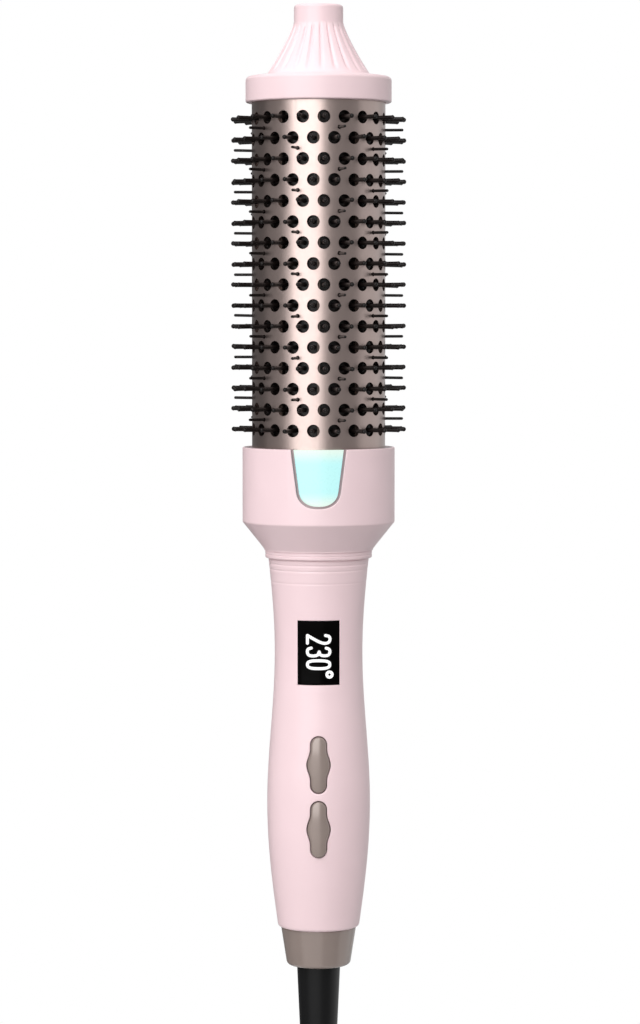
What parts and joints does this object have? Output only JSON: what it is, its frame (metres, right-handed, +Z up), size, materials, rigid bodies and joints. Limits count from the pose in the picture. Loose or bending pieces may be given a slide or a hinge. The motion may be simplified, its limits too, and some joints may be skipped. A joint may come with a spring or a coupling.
{
  "type": "heated round brush",
  "caption": "Heated round hair brush: perforated metal barrel with bristles, cool tip, lit collar, waisted handle with display and two keys, swivel cord.",
  "frame": {"origin": "middle of the neck ring, on the brush's axis", "axes": "+Z runs up the brush's axis towards the cool tip; the display, keys and light window face -Y; +X is to the right of someone facing the display"},
  "size_m": [0.055, 0.05, 0.5493],
  "materials": {
    "pink_plastic": "smooth pale pink moulding with a soft gloss",
    "barrel_coat": "metallic rose-taupe coat over drawn aluminium tube",
    "bristle_nylon": "black nylon with a slight gloss",
    "core_aluminium": "plain extruded",
    "heater_ceramic": "fired dark grey",
    "brass": "rolled",
    "amber_film": "amber film",
    "glass_bead": "glassy bead",
    "heat_plastic": "black heat-proof moulding",
    "steel": "zinc plated",
    "window_glow": "translucent white light guide lit pale cyan",
    "lamp_white": "white lamp package",
    "board_green": "solder-masked board",
    "lens_black": "polished smoked lens",
    "figure_light": "lit white segments",
    "taupe_plastic": "taupe moulding with a satin metallic lustre",
    "wire_jacket": "silicone jacket",
    "boot_rubber": "smooth black with a soft sheen",
    "cord_jacket": "smooth black cable jacket",
    "tie_fabric": "black woven strap",
    "plug_plastic": "black moulded plug",
    "blade_nickel": "nickel plated brass"
  },
  "bodies": {
    "brush": {"tip_cap": "pink_plastic", "tip_plug": "heat_plastic", "tip_screw": "steel", "barrel": "barrel_coat", "bristle_strip_01": "bristle_nylon", "bristle_strip_02": "bristle_nylon", "bristle_strip_03": "bristle_nylon", "bristle_strip_04": "bristle_nylon", "bristle_strip_05": "bristle_nylon", "bristle_strip_06": "bristle_nylon", "bristle_strip_07": "bristle_nylon", "bristle_strip_08": "bristle_nylon", "bristle_strip_09": "bristle_nylon", "bristle_strip_10": "bristle_nylon", "heat_core_front": "core_aluminium", "heat_core_rear": "core_aluminium", "heating_stones": "heater_ceramic", "electrode_front": "brass", "electrode_rear": "brass", "insulating_sleeve": "amber_film", "core_wedge": "core_aluminium", "thermistor": "glass_bead", "thermal_fuse": "steel", "core_holder": "heat_plastic", "core_screws": "steel", "collar": "pink_plastic", "light_window": "window_glow", "light_board": "board_green", "light_lamp": "lamp_white", "neck_ring": "pink_plastic", "handle_front_shell": "pink_plastic", "handle_rear_shell": "pink_plastic", "handle_screws": "steel", "display_lens": "lens_black", "display_figures": "figure_light", "display_module": "lamp_white", "control_board": "board_green", "board_screws": "steel", "key_switches": "heat_plastic", "power_board": "board_green", "power_capacitor": "amber_film", "power_triac": "heat_plastic", "heater_leads": "wire_jacket", "mains_leads": "wire_jacket", "end_cap": "taupe_plastic", "brush_holder": "heat_plastic", "contact_brushes": "brass"},
    "upper_key": {"upper_key": "taupe_plastic", "upper_plunger": "heat_plastic"},
    "lower_key": {"lower_key": "taupe_plastic", "lower_plunger": "heat_plastic"},
    "swivel": {"swivel_core": "heat_plastic", "slip_rings": "brass", "cord_boot": "boot_rubber", "cord": "cord_jacket", "cord_hank": "cord_jacket", "cord_tie": "tie_fabric", "plug_body": "plug_plastic", "plug_blades": "blade_nickel"}
  },
  "joints": [
    {"name": "upper_key_press", "type": "slide", "parent": "brush", "child": "upper_key", "axis": [0, 1, 0], "range_m": [0, 0.0006], "stiffness_N_per_m": 400, "springref_m": -0.001},
    {"name": "lower_key_press", "type": "slide", "parent": "brush", "child": "lower_key", "axis": [0, 1, 0], "range_m": [0, 0.0006], "stiffness_N_per_m": 400, "springref_m": -0.001},
    {"name": "cord_swivel", "type": "hinge", "parent": "brush", "child": "swivel", "pos_m": [0, 0, -0.11], "axis": [0, 0, 1], "continuous": true}
  ]
}
